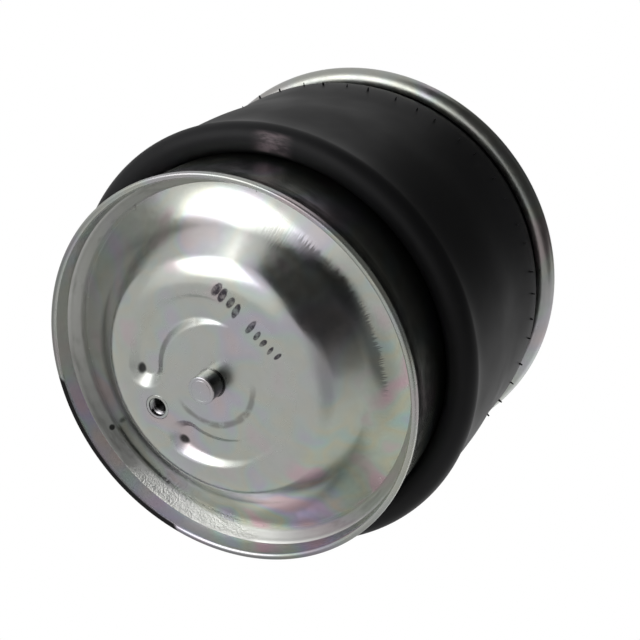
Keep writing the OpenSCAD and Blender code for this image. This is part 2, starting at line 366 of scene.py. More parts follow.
class Graph:
    """A material's nodes, with short calls for the few kinds that the finishes need."""

    def __init__(self, name: str) -> None:
        """Starts a material with a plain principled shader.

        Args:
            name: The material's name.
        """
        self.material = bpy.data.materials.new(name)
        self.material.use_nodes = True
        self.tree = self.material.node_tree
        self.shader = self.tree.nodes["Principled BSDF"]
        self.place = self.node("ShaderNodeTexCoord").outputs["Object"]

    def node(self, kind: str, **settings: object) -> bpy.types.Node:
        """Adds a node and sets its properties."""
        made = self.tree.nodes.new(kind)
        for key, value in settings.items():
            setattr(made, key, value)
        return made

    def feed(self, socket: Socket, value: object) -> None:
        """Links a socket to another, or sets its value."""
        if isinstance(value, bpy.types.NodeSocket):
            self.tree.links.new(value, socket)
        elif isinstance(value, tuple) and socket.type == "RGBA":
            socket.default_value = (*value, 1.0)
        else:
            socket.default_value = value

    def math(self, operation: str, a: object, b: object = 0.0, clamp: bool = False) -> Socket:
        """The result of a maths node on two values."""
        made = self.node("ShaderNodeMath", operation=operation, use_clamp=clamp)
        self.feed(made.inputs[0], a)
        self.feed(made.inputs[1], b)
        return made.outputs[0]

    def times(self, first: object, *others: object) -> Socket:
        """The product of two or more values."""
        for other in others:
            first = self.math("MULTIPLY", first, other)
        return first

    def noise(self, scale: float, detail: float = 2.0, rough: float = 0.5,
              place: Optional[Socket] = None) -> Socket:
        """A noise between 0 and 1 at a scale in lumps per metre."""
        made = self.node("ShaderNodeTexNoise")
        self.feed(made.inputs["Vector"], place or self.place)
        made.inputs["Scale"].default_value = scale
        made.inputs["Detail"].default_value = detail
        made.inputs["Roughness"].default_value = rough
        return made.outputs["Fac"]

    def span(self, value: Socket, low: float, high: float, to_low: float = 0.0,
             to_high: float = 1.0) -> Socket:
        """Maps one range of values to another, within its ends and softly at both."""
        made = self.node("ShaderNodeMapRange", interpolation_type="SMOOTHSTEP")
        for socket, v in zip(made.inputs[:5], (value, low, high, to_low, to_high)):
            self.feed(socket, v)
        return made.outputs[0]

    def blend(self, share: object, a: object, b: object) -> Socket:
        """Mixes two colours."""
        made = self.node("ShaderNodeMix", data_type="RGBA")
        for name, v in (("Factor_Float", share), ("A_Color", a), ("B_Color", b)):
            self.feed(next(s for s in made.inputs if s.identifier == name), v)
        return next(s for s in made.outputs if s.identifier == "Result_Color")

    def ramp(self, value: Socket, stops: Sequence[tuple[float, Colour]]) -> Socket:
        """A colour from a value, by stops."""
        made = self.node("ShaderNodeValToRGB")
        self.feed(made.inputs[0], value)
        band = made.color_ramp
        while len(band.elements) < len(stops):
            band.elements.new(0.5)
        for element, (at, colour) in zip(band.elements, stops):
            element.position, element.color = at, (*colour, 1.0)
        return made.outputs[0]

    def axes(self) -> tuple[Socket, Socket, Socket]:
        """The three coordinates of a place."""
        made = self.node("ShaderNodeSeparateXYZ")
        self.feed(made.inputs[0], self.place)
        return made.outputs[0], made.outputs[1], made.outputs[2]

    def height(self) -> Socket:
        """Height above the seating face."""
        return self.axes()[2]

    def toward(self, x: float, y: float) -> Socket:
        """How far a place lies from the axis along a level direction, which x and y give."""
        px, py, _ = self.axes()
        return self.math("ADD", self.times(px, x), self.times(py, y))

    def vector(self, x: object, y: object, z: object) -> Socket:
        """A place from three values."""
        made = self.node("ShaderNodeCombineXYZ")
        for socket, v in zip(made.inputs, (x, y, z)):
            self.feed(socket, v)
        return made.outputs[0]

    def radius(self) -> Socket:
        """Distance from the spring's axis."""
        x, y, _ = self.axes()
        return self.math("SQRT", self.math("ADD", self.times(x, x), self.times(y, y)))

    def round_place(self, around: float, along: float) -> Socket:
        """A place for streaks that run away from the axis or round it.

        Args:
            around: How fast the pattern changes round the axis.
            along: How fast it changes away from it and along it.

        Returns:
            The place, continuous all the way round.
        """
        x, y, z = self.axes()
        r = self.math("MAXIMUM", self.radius(), 1e-4)
        return self.vector(self.times(self.math("DIVIDE", x, r), around),
                           self.times(self.math("DIVIDE", y, r), around),
                           self.times(self.math("ADD", r, z), along))

    def ellipse(self, mark: Mark, ragged: object = 0.0, inner: float = 0.6) -> Socket:
        """A filled ellipse, seen from below.

        Args:
            mark: Its centre, direction and half sizes.
            ragged: What makes its edge uneven.
            inner: Square of the share of its size at which it starts to fade.

        Returns:
            1 inside it and 0 outside.
        """
        cx, cy, turn, long, short = mark
        c, s = math.cos(math.radians(turn)), math.sin(math.radians(turn))
        less = self.node("ShaderNodeVectorMath", operation="SUBTRACT")
        self.feed(less.inputs[0], self.place)
        self.feed(less.inputs[1], Vector((cx, cy, 0)) * MM)
        total: object = ragged
        for axis, half in ((Vector((c, s, 0)), long), (Vector((-s, c, 0)), short)):
            dot = self.node("ShaderNodeVectorMath", operation="DOT_PRODUCT")
            self.feed(dot.inputs[0], less.outputs[0])
            self.feed(dot.inputs[1], axis / (half * MM))
            share = self.math("POWER", self.math("ABSOLUTE", dot.outputs["Value"]), 2.0)
            total = self.math("ADD", share, total)
        return self.span(total, 1.15, inner)

    def bump(self, height: Socket, depth: float, below: Optional[Socket] = None) -> Socket:
        """A bump of a height in metres, over another one."""
        made = self.node("ShaderNodeBump")
        made.inputs["Strength"].default_value = 1.0
        made.inputs["Distance"].default_value = depth
        self.feed(made.inputs["Height"], height)
        if below:
            self.feed(made.inputs["Normal"], below)
        return made.outputs[0]

    def finish(self, colour: object, rough: object, metallic: object, normal: Optional[Socket] = None,
               specular: object = 0.5) -> Finish:
        """Sets the shader's own sockets and returns the material."""
        self.feed(self.shader.inputs["Base Color"], colour)
        self.feed(self.shader.inputs["Roughness"], rough)
        self.feed(self.shader.inputs["Metallic"], metallic)
        self.feed(self.shader.inputs["Specular IOR Level"], specular)
        if normal:
            self.feed(self.shader.inputs["Normal"], normal)
        return self.material

    def cover(self, share: Socket, shader: Socket) -> Finish:
        """Shows a shader by a share, lets light through elsewhere, and returns the material."""
        mix = self.node("ShaderNodeMixShader")
        clear = self.node("ShaderNodeBsdfTransparent")
        for socket, value in zip(mix.inputs, (share, clear.outputs[0], shader)):
            self.feed(socket, value)
        self.feed(self.tree.nodes["Material Output"].inputs["Surface"], mix.outputs[0])
        return self.material


# Plain ink dabs on the seat, painted shade on the pits in the grooves, and a painted dark pit in the weld
# with no hollow under it
DABS: tuple[Mark, ...] = (
    (-36.5, 46.5, 162.0, 5.4, 2.6), (-37.9, 42.0, 155.0, 5.4, 2.4), (-40.2, 36.2, 159.0, 4.5, 2.2),
    (-40.8, 30.7, 153.0, 5.4, 2.2), (-44.0, 18.9, 161.0, 5.6, 1.9), (-44.9, 13.0, 159.0, 3.7, 1.6),
    (-46.2, 7.8, 172.0, 3.4, 1.6), (-47.8, 2.3, 160.0, 3.4, 1.2), (-50.3, -2.4, 171.0, 3.4, 1.2),
)
SHADED_PITS: tuple[Mark, ...] = ((44.0, 24.9, 118.0, 4.0, 2.9), (43.2, -25.3, 62.0, 4.0, 2.9))
SHADED_WELD_PIT: Mark = (113.4, -4.0, 90.0, 2.2, 1.3)

# Colours of the passivation film, by the value of a noise
FILM = (
    (0.32, (0.58, 0.40, 0.44)), (0.40, (0.45, 0.51, 0.43)), (0.47, (0.50, 0.50, 0.37)),
    (0.53, (0.39, 0.52, 0.47)), (0.60, (0.44, 0.41, 0.56)), (0.70, (0.58, 0.41, 0.46)),
)
# Tone of the painted shade inside the bush's bore and of the painted dark reflection on the rim's edge
SHADE_TONE = (0.012, 0.012, 0.012)


@dataclass(frozen=True)
class ZincFinish:
    """Zinc plating with a thin, faintly coloured passivation layer."""

    name: str
    grey: Colour = (0.46, 0.465, 0.45)
    roughness: float = 0.2
    tint: float = 0.55
    patch: float = 26.0
    film: float = 0.0
    grain: float = 0.5
    turned: float = 0.0
    # Switches: drawing streaks with a band of painted dark reflection, painted shade in the bore and on the
    # pin's flank, seat marks with painted shade in the grooves' pits, and a painted dark reflection on the
    # rim's edge
    drawn_and_dark_reflection: bool = False
    bore_shade: bool = False
    marks: bool = False
    rim_reflection: bool = False
    flank_shade: bool = False

    def made(self) -> Finish:
        """Builds the material."""
        g = Graph(self.name)
        metallic: object = 1.0
        shine: object = 0.5
        colour = g.blend(self.film_share(g), self.grey, g.ramp(g.noise(self.patch, 1.5), FILM))
        colour = g.blend(g.span(g.noise(75, 3, 0.6), 0.3, 0.75, 0.0, 0.12), colour, (0.30, 0.30, 0.29))
        rough = g.span(g.noise(140, 4, 0.6), 0.25, 0.75, self.roughness * 0.85, self.roughness * 1.2)
        grain = g.bump(g.noise(1500, 2, 0.6), 0.000006 * self.grain)
        # Drawing streaks, and a band of painted dark reflection on the plate's wall
        if self.drawn_and_dark_reflection:
            colour, grain = self.drawn_wall_and_painted_reflection(g, colour, grain)
        if self.turned:
            grain = g.bump(g.noise(1.0, 2, 0.6, g.round_place(1.5, 2600)), 0.00004 * self.turned, grain)
        # Painted shade: the bush's bore darkens towards near black with depth
        if self.bore_shade:
            colour = g.blend(g.span(g.height(), 0.0015, 0.0065), colour, SHADE_TONE)
        # Painted shade: the pin's flank darkens to near black on one side, from near its end to the plate
        if self.flank_shade:
            right = g.span(g.toward(-0.84, -0.54), -0.003, 0.006)
            side = g.times(right, g.span(g.height(), -0.0117, -0.0105))
            colour = g.blend(g.times(side, 0.85), colour, (0.03, 0.03, 0.03))
        # Painted dark reflection on the rim's inner round: dark, rougher and less metallic there
        if self.rim_reflection:
            edge_reflection_share = self.painted_edge_reflection(g)
            colour = g.blend(edge_reflection_share, colour, SHADE_TONE)
            rough = g.math("ADD", rough, g.times(edge_reflection_share, 0.35))
            metallic = g.math("SUBTRACT", 1.0, edge_reflection_share)
            shine = g.times(metallic, 0.5)
        if self.marks:
            colour, rough = self.seat_marks(g, colour, rough)
        return g.finish(colour, rough, metallic, grain, shine)

    def film_share(self, g: Graph) -> Socket:
        """How much of the film's colours shows, with more of them at one side of the plate's wall."""
        share = g.span(g.noise(self.patch * 0.6), 0.35, 0.65, self.tint * 0.25, self.tint)
        if self.film:
            raised = g.times(g.span(g.toward(-0.34, -0.94), 0.03, 0.085), g.span(g.height(), 0.0, 0.004))
            share = g.math("ADD", share, g.times(raised, self.film), clamp=True)
        return share

    @staticmethod
    def drawn_wall_and_painted_reflection(g: Graph, colour: Socket, grain: Socket) -> tuple[Socket, Socket]:
        """Adds drawing streaks on the plate's wall, and outside them a painted dark reflection: a near black
        band with a toothed edge, on the side away from the bush.

        Args:
            g: The material's graph.
            colour: Colour so far.
            grain: Bumps so far.

        Returns:
            The new colour and bumps.
        """
        r, x = g.radius(), g.axes()[0]
        slope = g.times(g.span(r, 0.056, 0.064), g.span(r, 0.102, 0.096))
        edge = g.times(g.span(r, 0.086, 0.092), g.span(r, 0.105, 0.100))
        band = g.times(g.math("ADD", g.times(slope, 0.12), edge), g.span(x, -0.045, -0.075))
        streaks = g.math("SUBTRACT", g.noise(1.0, 3, 0.7, g.round_place(120, 12)), 0.5)
        grain = g.bump(g.times(streaks, band), 0.00006, grain)
        # Painted reflection of a dark surround: outside the streaks the wall is blended towards near black,
        # with a toothed edge, on the side away from the bush
        teeth = g.times(g.math("SUBTRACT", g.noise(1.0, 2, 0.8, g.round_place(150, 6)), 0.5), 0.012)
        painted_dark_reflection = g.times(g.span(g.math("ADD", r, teeth), 0.0985, 0.0970), g.span(r, 0.088, 0.094))
        painted_dark_reflection = g.times(painted_dark_reflection, g.span(x, -0.080, -0.088, 0.0, 0.65))
        return g.blend(painted_dark_reflection, colour, (0.05, 0.05, 0.05)), grain

    @staticmethod
    def painted_edge_reflection(g: Graph) -> Socket:
        """How dark the rim's inner round is painted, as a painted dark reflection: a little all round, more
        towards one side, and black along one stretch.
        """
        r, near = g.radius(), g.toward(0.985, -0.174)
        all_round_share = g.times(g.span(r, 0.1192, 0.1206), g.span(near, -0.05, 0.05, 0.15, 0.6))
        # The black stretch is a painted reflection of something dark beside the rim
        black = g.times(g.span(r, 0.1186, 0.1193), g.span(near, 0.1030, 0.1052, 0.0, 0.99))
        return g.times(g.math("MAXIMUM", all_round_share, black), g.span(g.height(), 0.0140, 0.0125))

    @staticmethod
    def seat_marks(g: Graph, colour: Socket, rough: Socket) -> tuple[Socket, Socket]:
        """Adds a washer's smear round the pin, painted shade in the grooves' pits and a row of plain ink
        dabs.

        Args:
            g: The material's graph.
            colour: Colour so far.
            rough: Roughness so far.

        Returns:
            The new colour and roughness.
        """
        r = g.radius()
        rough = g.math("ADD", rough, g.span(r, 0.060, 0.052, 0.0, 0.09))
        flat = g.span(g.height(), 0.0012, 0.0004)
        off_middle = g.math("ABSOLUTE", g.math("SUBTRACT", r, 0.0272))
        ring = g.span(g.math("ADD", off_middle, g.times(g.noise(60), 0.003)), 0.0042, 0.0022)
        side = g.span(g.toward(0.2, -1.0), 0.004, 0.016)
        torn = g.span(g.noise(150, 3, 0.6), 0.30, 0.52, 0.25, 1.0)
        smear = g.times(ring, side, g.times(torn, 0.6), flat)
        colour = g.blend(smear, colour, (0.16, 0.15, 0.145))
        ragged = g.times(g.math("SUBTRACT", g.noise(520, 2, 0.6), 0.5), 0.9)
        ink = g.ellipse(DABS[0], ragged)
        for dab in DABS[1:]:
            ink = g.math("MAXIMUM", ink, g.ellipse(dab, ragged))
        ink = g.times(ink, g.span(g.noise(260, 2, 0.6), 0.3, 0.62, 0.5, 0.95), flat)
        colour = g.blend(ink, colour, (0.035, 0.03, 0.04))
        rough = g.math("ADD", rough, g.times(ink, 0.2))
        # Painted shade: the grooves' pits are blended to near black
        for pit in SHADED_PITS:
            colour = g.blend(g.times(g.ellipse(pit, inner=0.2), 0.93), colour, (0.02, 0.02, 0.02))
        return colour, rough


@dataclass(frozen=True)
class WeldFinish:
    """Plated weld metal, rougher than the sheet and darker in its ripples."""

    name: str
    grey: Colour = (0.50, 0.50, 0.48)

    def made(self) -> Finish:
        """Builds the material."""
        g = Graph(self.name)
        lines = g.noise(1.0, 2, 0.6, g.round_place(5, 900))
        colour = g.blend(g.span(lines, 0.46, 0.30, 0.0, 0.3), self.grey, (0.16, 0.155, 0.14))
        soot = g.span(g.noise(150, 4, 0.65), 0.55, 0.8)
        colour = g.blend(g.times(soot, 0.12), colour, (0.20, 0.195, 0.18))
        near = g.toward(0.961, -0.276)
        crack = g.times(g.span(g.radius(), 0.1121, 0.1118, 0.0, 0.8), g.span(near, 0.1085, 0.1095))
        # The crack is a dark line along the toe on one stretch; the pit is painted shade, a dark spot with no
        # hollow under it
        dark = g.times(g.math("MAXIMUM", crack, g.ellipse(SHADED_WELD_PIT, inner=0.4)), 0.92)
        colour = g.blend(dark, colour, (0.015, 0.015, 0.015))
        rough = g.span(g.noise(200, 1), 0.3, 0.7, 0.34, 0.42)
        crumbs = g.times(g.span(g.toward(0.766, -0.643), 0.103, 0.110), g.noise(700, 3, 0.6))
        return g.finish(colour, rough, 1.0, g.bump(crumbs, 0.0006, g.bump(lines, 0.00002)))


@dataclass(frozen=True)
class WireFinish:
    """Brassy bead wire, wound round and round."""

    name: str

    def made(self) -> Finish:
        """Builds the material."""
        g = Graph(self.name)
        winds = g.noise(1.0, 1, 0.5, g.round_place(2.0, 1800))
        colour = g.blend(g.span(winds, 0.35, 0.65), (0.42, 0.33, 0.20), (0.52, 0.44, 0.30))
        return g.finish(colour, g.span(g.noise(400, 2), 0.3, 0.7, 0.28, 0.45), 1.0, g.bump(winds, 0.0002))


@dataclass(frozen=True)
class RubberFinish:
    """Moulded black rubber with a soft bloom and dusty smudges."""

    name: str
    black: Colour = (0.0035, 0.0035, 0.004)
    bloom: Colour = (0.0065, 0.0065, 0.0075)
    dust: Colour = (0.075, 0.070, 0.070)
    dusty: float = 0.35
    roughness: float = 0.5
    smudged: bool = False

    def made(self) -> Finish:
        """Builds the material."""
        g = Graph(self.name)
        colour = g.blend(g.span(g.noise(7, 1, 0.5), 0.35, 0.7), self.black, self.bloom)
        smear = g.noise(1.0, 4, 0.6, g.round_place(7, 26))
        spots = g.times(g.span(smear, 0.66, 0.84), g.span(g.noise(320, 3, 0.6), 0.3, 0.7))
        colour = g.blend(g.times(spots, self.dusty), colour, self.dust)
        if self.smudged:
            colour = g.blend(self.smudge(g), colour, (0.16, 0.125, 0.135))
        rough = g.span(g.noise(24), 0.3, 0.7, self.roughness - 0.03, self.roughness + 0.05)
        skin = g.bump(g.noise(2600, 2, 0.6), 0.00001)
        return g.finish(colour, rough, 0.0, skin, specular=0.17)

    @staticmethod
    def smudge(g: Graph) -> Socket:
        """Share of a chalky smudge on the lobe."""
        along = g.math("ABSOLUTE", g.toward(0.788, 0.616))
        high = g.math("ABSOLUTE", g.math("SUBTRACT", g.height(), 0.0562))
        side = g.span(g.toward(-0.616, 0.788), 0.08, 0.1)
        torn = g.span(g.noise(1.0, 3, 0.6, g.round_place(14, 330)), 0.35, 0.65, 0.35, 1.0)
        return g.times(g.span(along, 0.016, 0.001), g.span(high, 0.0028, 0.0004), side, torn, 0.8)


# Sub-assemblies


@dataclass
class Piston:
    """The steel piston: shell, pressed base plate, weld, locating pin and tapped bush."""

    shop: Workshop
    wall_r: float = 121.0
    wall_in: float = 118.0
    rim_r: float = 122.5
    rim_z: float = 10.0
    head_z: float = 116.0
    top_z: float = 124.0
    shell_t: float = 3.0
    # Rim: its inner radius, outer and inner rounds, and the ends of the flare up to the wall
    rim_in: float = 118.5
    lip: float = 1.4
    turned_in: float = 2.6
    flare_z: float = 14.0
    flare_end: float = 25.0
    # Head: rounds of the shoulder, step and corners, and the places of the step, bead seat and neck
    shoulder_r: float = 12.0
    step_r: float = 5.0
    corner_r: float = 4.0
    step_x: float = 94.0
    seat_x: float = 84.9
    seat_z: float = 110.0
    neck_r: float = 74.0
    edge_z: float = 31.5
    base_t: float = 4.0
    flat_r: float = 57.5
    bend_r: float = 27.0
    cove_r: float = 42.0
    wall_slope: float = 44.0
    pin_r: float = 8.5
    pin_len: float = 12.0
    bush_x: float = 45.5
    bush_r: float = 5.1
    groove_in: float = 39.0
    groove_out: float = 51.0
    groove_end: float = 25.3
    groove_wall: float = 0.7
    groove_wall_in: float = 0.8
    groove_depth: float = 5.0
    groove_round: float = 0.7
    # Extra depth of a groove's pit, its place past the floor's corner, and how far it spreads
    pit_depth: float = 1.3
    pit_turn: float = 4.5
    pit_in: float = 1.2
    pit_spread: Point = (3.2, 1.9)
    # Depth of each groove's floor by the angle from the bush
    ramp_left: tuple[Point, ...] = ((35.0, 5.0), (76.0, 4.2), (107.0, 3.1), (123.0, 1.8), (141.0, 0.0))
    ramp_right: tuple[Point, ...] = ((34.0, 5.0), (63.0, 3.2), (77.0, 2.1), (90.0, 0.7), (124.0, 0.0))
    # Weld: how far its toe and foot reach, and the middle, half length and fade of its ragged stretch
    toe_in: float = 6.3
    weld_foot: float = 10.0
    ragged_turn: float = -36.0
    ragged_half: float = 12.0
    ragged_fade: float = 10.0

    def build(self) -> None:
        """Makes and dresses every visible piece of the piston."""
        zinc = ZincFinish("Zinc plated shell", rim_reflection=True, grain=0.0).made()
        pressed = ZincFinish("Zinc plated base", patch=32.0, tint=0.42, film=0.65, drawn_and_dark_reflection=True,
                             marks=True).made()
        machined = ZincFinish("Zinc plated turning", tint=0.3, turned=0.05, flank_shade=True).made()
        bored = ZincFinish("Zinc plated bore", roughness=0.26, tint=0.3, bore_shade=True).made()
        bead = WeldFinish("Plated weld").made()
        self.keep(self.shell(), zinc, Slot.ZINC, "piston_shell")
        self.keep(self.base(), pressed, Slot.ZINC, "base_plate")
        self.keep(self.weld(), bead, Slot.WELD, "base_weld_bead")
        self.keep(self.spatter(), bead, Slot.WELD)
        self.keep(self.pin(), machined, Slot.ZINC, "locating_pin")
        self.keep(self.bush(), bored, Slot.ZINC, "tapped_bush")

    def keep(self, piece: Piece, finish: Finish, slot: Slot, *nodes: str) -> None:
        """Dresses a piece and puts it on the piston.

        Args:
            piece: The piece.
            finish: Its material.
            slot: A material slot; not used.
            nodes: The frame's nodes that it stands for.
        """
        dress(piece, finish, nodes)
        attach(piece, Body.PISTON.value)

    def shell(self) -> Piece:
        """The drawn cup with its thickened, rounded rim."""
        w, t, lip, turned_in = self.wall_r, self.shell_t, self.lip, self.turned_in
        shoulder = (w - self.shoulder_r, self.head_z - self.shoulder_r)
        step = (self.step_x, self.head_z - self.step_r)
        seat = (self.seat_x, self.seat_z + self.step_r)
        foot = (self.neck_r + self.corner_r, self.seat_z + self.corner_r)
        neck = (self.neck_r - self.corner_r, self.top_z - self.corner_r)
        flare = [(self.rim_r, self.rim_z + lip + 0.1), (self.rim_r, self.flare_z),
                 (w + 0.5, (self.flare_z + self.flare_end) / 2), (w, self.flare_end)]
        outer = joined(
            arc(self.rim_in + turned_in, self.rim_z + turned_in, turned_in, 180, 270, 6),
            arc(self.rim_r - lip, self.rim_z + lip, lip, -90, 0, 10), smooth(flare, 5),
            [(w, 60.0), (w, 100.0)], arc(*shoulder, self.shoulder_r, 0, 90, 6))
        head = joined(
            [(self.step_x, self.head_z)], arc(*step, self.step_r, 90, 135, 9),
            arc(*seat, self.step_r, 315, 270, 9), arc(*foot, self.corner_r, 270, 180, 10),
            arc(*neck, self.corner_r, 0, 90, 10), [(0.0, self.top_z)])
        under = joined(
            [(0.0, self.top_z - t)], arc(*neck, self.corner_r - t, 90, 0, 20),
            arc(*foot, self.corner_r + t, 180, 270, 10), arc(*seat, self.step_r + t, 270, 315, 9),
            arc(*step, self.step_r - t, 135, 90, 9), arc(*shoulder, self.shoulder_r - t, 90, 0, 6))
        wall = [(self.wall_in, 60.0), (self.wall_in, self.flare_end), (self.wall_in + 0.1, 20.0),
                (self.rim_in, self.flare_z), (self.rim_in, self.rim_z + turned_in)]
        return self.shop.turn("piston_cup", outer + head + under + wall, 320)

    def base(self) -> Piece:
        """The pressed base plate with its two ramped grooves."""
        bend, cove, t, slope = self.bend_r, self.cove_r, self.base_t, self.wall_slope
        middle = (self.wall_in, self.edge_z - cove)
        face = joined(
            [(0.0, 0.0)], line((9.0, 0.0), (50.0, 0.0), 0.8), line((50.8, 0.004), (57.5, 0.1), 0.8),
            arc(self.flat_r, bend, bend, -88, slope - 90, 1.5), arc(*middle, cove, 90 + slope, 90, 2))
        back = joined(
            arc(*middle, cove + t, 90, 90 + slope, 4), arc(self.flat_r, bend, bend - t, slope - 90, -90, 4),
            line((56.0, t), (9.0, t), 2.4), [(0.0, t)])
        plate = self.shop.turn("pressed_base", face + back, 480)
        self.shop.drill(plate, (self.bush_x, 0.0), self.bush_r + 2.8, -3, t + 3)
        self.shop.drill(plate, (0.0, 0.0), self.pin_r + 1.0, -3, t + 3)
        self.shop.press(plate, self.groove, self.groove_depth)
        return self.shop.seat(plate, "pressed_base")

    def groove(self, p: Vector) -> float:
        """Depth of the pressed grooves at a place, in millimetres."""
        r = math.hypot(p.x, p.y)
        if p.z > 10 or not 28 < r < 62:
            return 0.0
        turn = abs(math.degrees(math.atan2(p.y, p.x)))
        floor = self.ramp(self.ramp_left if p.y > 0 else self.ramp_right, turn)
        if floor <= 0:
            return 0.0
        # Distance outside the floor's outline, along it and across it, with a round end
        middle, half = (self.groove_in + self.groove_out) / 2, (self.groove_out - self.groove_in) / 2
        along = max(math.radians(self.groove_end - turn) * middle + half, 0.0)
        across = r - middle
        reach = math.hypot(along, across)
        inward = (max(-across, 0.0) / max(reach, 1e-6)) ** 2
        wall = self.groove_wall + (self.groove_wall_in - self.groove_wall) * inward
        round_it, outward = self.pit_spread
        away = (((turn - self.groove_end - self.pit_turn) / round_it) ** 2
                + ((r - self.groove_out + self.pit_in) / outward) ** 2)
        bottom = floor + self.pit_depth * math.exp(-away)
        return self.soft_least(bottom, floor - (reach - half) * wall, self.groove_round)

    @staticmethod
    def ramp(steps: Sequence[Point], turn: float) -> float:
        """Depth of a groove's floor at an angle from the bush."""
        if turn <= steps[0][0]:
            return steps[0][1]
        for (a, low), (b, high) in zip(steps, steps[1:]):
            if turn <= b:
                return low + (high - low) * (turn - a) / (b - a)
        return 0.0

    @staticmethod
    def soft_least(a: float, b: float, width: float) -> float:
        """The smaller of two depths, rounded where they meet and where they reach the seat."""
        h = max(width - abs(a - b), 0.0) / width
        least = min(a, b) - h * h * width / 4
        if least >= width:
            return least
        if least <= -width:
            return 0.0
        return (least + width) ** 2 / (4 * width)

    def weld(self) -> Piece:
        """The fillet weld between the wall and the plate's edge, rough along one stretch."""
        w, foot = self.wall_in, self.edge_z - self.weld_foot
        toe_x = w - self.toe_in
        toe = self.plate_face(toe_x)
        face = smooth([(toe_x, toe), (w - 5.6, toe - 2.4), (w - 4.2, toe - 4.3), (w - 2.2, toe - 6.8),
                       (w - 1.0, toe - 8.4), (w + 0.1, foot)], 5)
        outline = joined([(w + 0.4, self.edge_z + 0.3), (toe_x, toe + 0.3)], face, [(w + 0.4, foot)])
        bead = self.shop.turn("wall_weld", outline, 720, angle=50)

        def proud(p: Vector) -> float:
            """Share of the roughness: only the open face, most where the bead is ragged."""
            if math.hypot(p.x, p.y) > w - 0.3 or p.z > toe - 0.2:
                return 0.0
            return 0.04 + 0.96 * self.ragged(p)

        self.shop.roughen(bead, proud, 2.4, 0.12)
        self.shop.roughen(bead, proud, 14.0, 0.25)
        return self.shop.seat(bead, "wall_weld", 50)

    def ragged(self, p: Vector) -> float:
        """How ragged the weld is at a place: 1 along its rough stretch, 0 elsewhere."""
        turn = math.degrees(math.atan2(p.y, p.x))
        past = max(0.0, abs(turn - self.ragged_turn) - self.ragged_half)
        return max(0.0, 1 - past / self.ragged_fade)

    def spatter(self) -> Piece:
        """Small beads of weld metal: a row along the toe where it is ragged, and a few strays."""
        rng = random.Random(11)
        count, in_row = 64, 44
        beads = []
        for k in range(count):
            if k < in_row:
                turn, spread = math.radians(-24 - k * 0.75 + rng.uniform(-0.2, 0.2)), 0.35
            else:
                turn, spread = rng.uniform(-math.pi, math.pi), 2.0
            r = 111.6 - abs(rng.gauss(0, spread))
            size = rng.uniform(0.2, 0.45)
            where = Vector((r * math.cos(turn), r * math.sin(turn), self.plate_face(r) - size * 0.3)) * MM
            bpy.ops.mesh.primitive_ico_sphere_add(subdivisions=2, radius=size * MM, location=where)
            beads.append(bpy.context.object)
        return self.shop.seat(self.shop.merge("weld_spatter", beads), "weld_spatter", 60)

    def plate_face(self, r: float) -> float:
        """Height of the plate's outer cove at a radius."""
        return self.edge_z - self.cove_r + math.sqrt(self.cove_r ** 2 - (self.wall_in - r) ** 2)

    def pin(self) -> Piece:
        """The locating pin with its rounded edge, and a dimple and a ring from turning."""
        r, low = self.pin_r, -self.pin_len
        outline = joined(
            [(0.0, low + 0.25)], arc(0.0, low - 3.2, 3.45, 90, 69, 7),
            [(1.5, low), (6.2, low), (6.35, low + 0.12), (6.6, low)],
            arc(r - 0.9, low + 0.9, 0.9, -90, 0, 10), [(r, 0.15), (r + 0.2, 0.18), (r + 0.32, 0.0)],
            [(r + 1.0, 0.0), (r + 1.0, self.base_t + 4), (0.0, self.base_t + 4)])
        return self.shop.turn("guide_pin", outline, 128)

    def bush(self) -> Piece:
        """The tapped bush with a countersunk mouth and its thread."""
        r, t = self.bush_r, self.base_t
        rim, collar = r + 2.8, r + 4.9
        ring = joined([(r + 0.9, 0.05), (rim - 0.35, 0.05), (rim - 0.02, 0.35), (rim - 0.02, t),
                       (collar, t), (collar, 16.0), (r + 0.7, 16.0), (r + 0.7, 0.8)])
        body = self.shop.turn("bush_body", ring, 96, (self.bush_x, 0.0))
        ridge = self.shop.coil("bush_ridge", r + 0.75, r - 0.1, 1.75, 0.7, 15.9, (self.bush_x, 0.0))
        return self.shop.merge("tapped_boss", [body, ridge])


